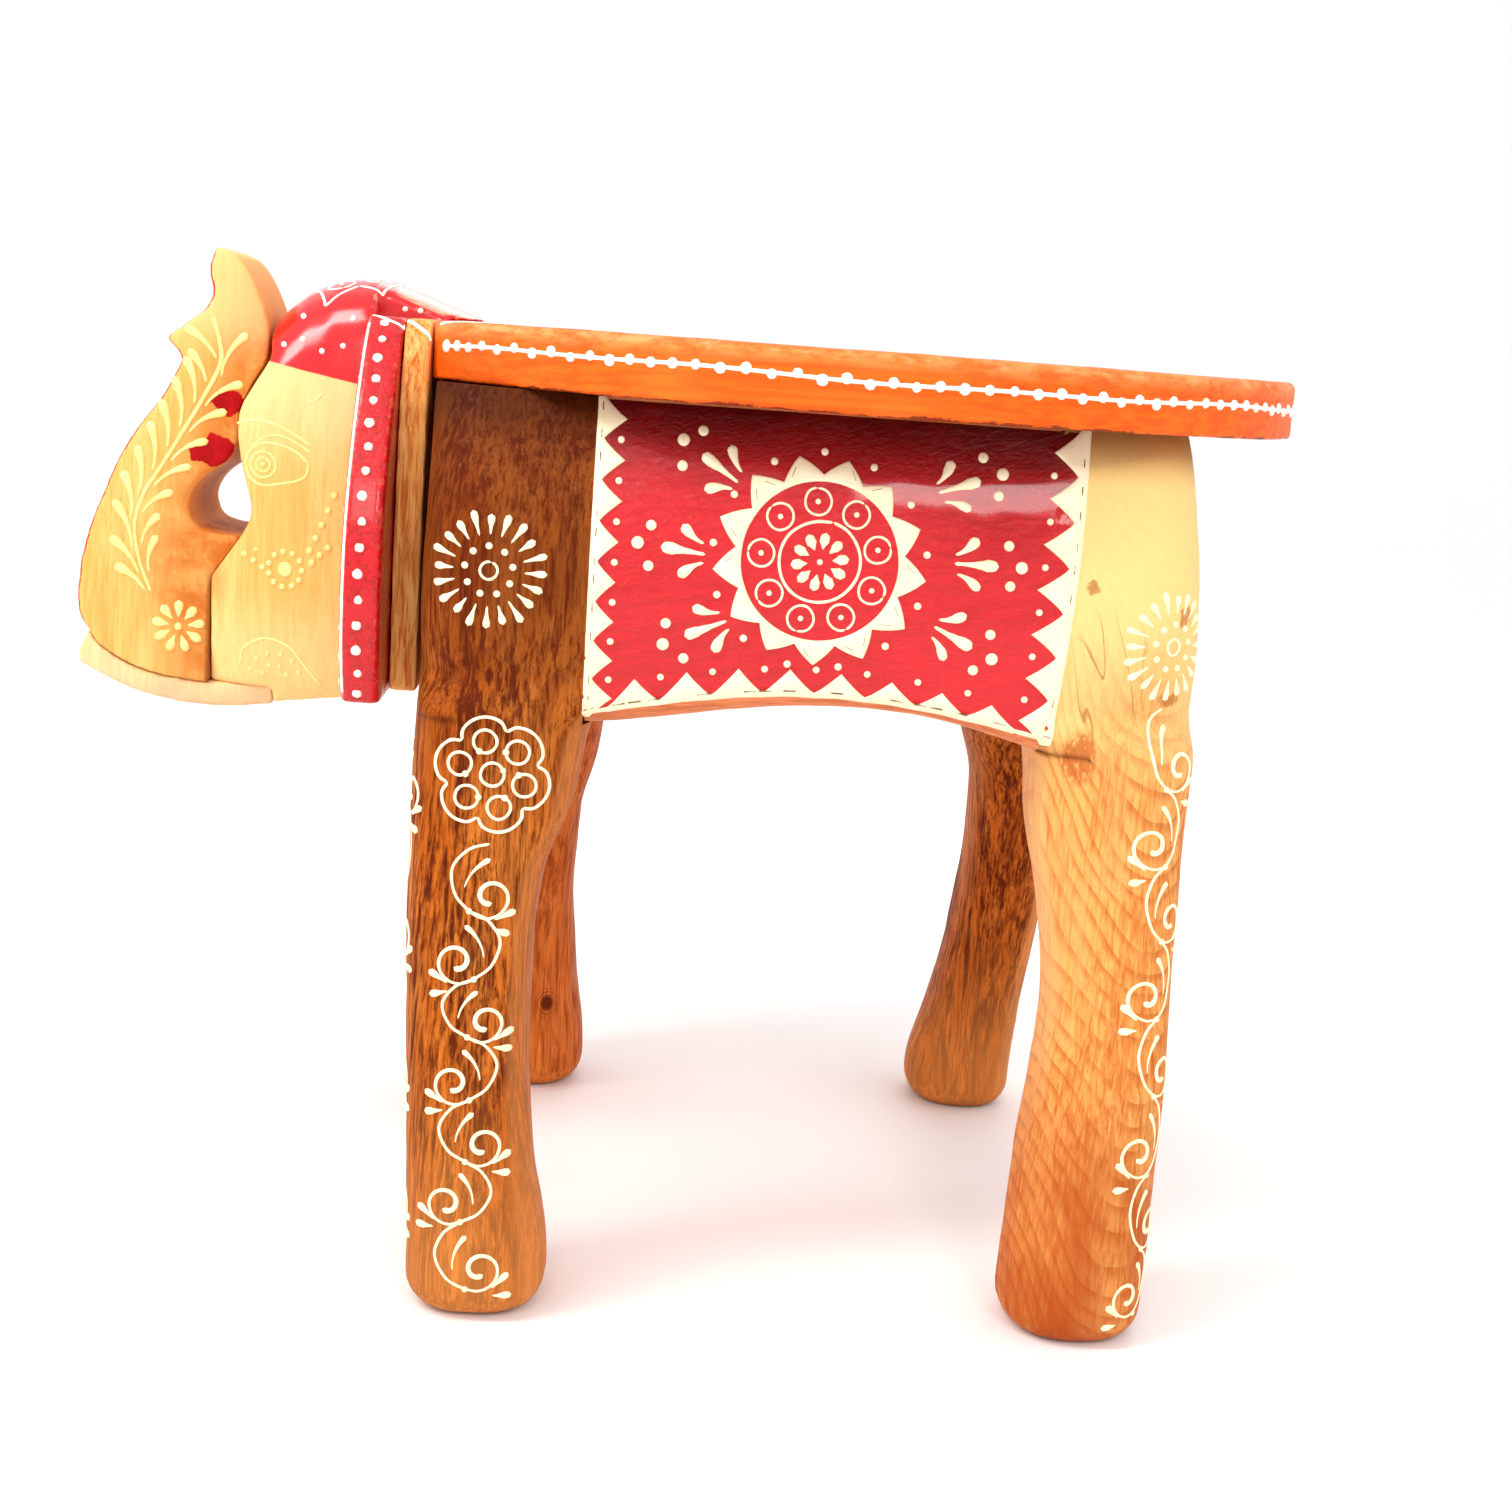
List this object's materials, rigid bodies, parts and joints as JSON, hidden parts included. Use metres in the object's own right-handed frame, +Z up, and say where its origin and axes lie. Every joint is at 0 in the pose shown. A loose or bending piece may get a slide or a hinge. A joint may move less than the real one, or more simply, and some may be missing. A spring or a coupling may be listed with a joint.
{
  "type": "carved wooden elephant stool",
  "caption": "Hand-carved, painted wooden elephant that serves as a low stool or side table, with an oval seat board on its back.",
  "frame": {"origin": "middle of the bounding box at floor level, under the elephant", "axes": "+Z up, the elephant faces -X, its left side faces -Y"},
  "size_m": [0.4006, 0.271, 0.3184],
  "materials": {
    "seat_paint": "orange paint on wood, satin",
    "saddle_paint": "red paint on wood with raised cream paint, gloss",
    "red_paint": "red paint on wood, gloss",
    "dark_wood": "dark brown figured wood, clear varnish",
    "brown_wood": "orange-brown wood, clear varnish",
    "pale_wood": "pale wood with cathedral grain, clear varnish",
    "bare_wood": "sawn and varnished wood",
    "face_wood": "pale yellow stained wood, clear varnish",
    "dowel_wood": "plain beech dowel",
    "cream_paint": "thick cream paint laid on in raised dots and strokes, satin",
    "nail_steel": "plain wire nail"
  },
  "bodies": {
    "root": {"seat_board": "seat_paint", "torso_block": "saddle_paint", "leg_front_left": "dark_wood", "leg_front_right": "brown_wood", "leg_rear_left": "pale_wood", "leg_rear_right": "dark_wood", "ear_board": "red_paint", "neck_plate": "bare_wood", "head_block": "face_wood", "trunk": "face_wood", "lower_jaw": "face_wood", "leg_dowel_front_left_lower": "dowel_wood", "leg_dowel_front_left_upper": "dowel_wood", "leg_dowel_front_right_lower": "dowel_wood", "leg_dowel_front_right_upper": "dowel_wood", "leg_dowel_rear_left_lower": "dowel_wood", "leg_dowel_rear_left_upper": "dowel_wood", "leg_dowel_rear_right_lower": "dowel_wood", "leg_dowel_rear_right_upper": "dowel_wood", "seat_dowel_front_left": "dowel_wood", "seat_dowel_front_right": "dowel_wood", "seat_dowel_rear_left": "dowel_wood", "seat_dowel_rear_right": "dowel_wood", "head_dowel_lower": "dowel_wood", "head_dowel_upper": "dowel_wood", "trunk_dowel_left": "dowel_wood", "trunk_dowel_right": "dowel_wood", "jaw_nail_front": "nail_steel", "jaw_nail_rear": "nail_steel"}
  },
  "joints": []
}
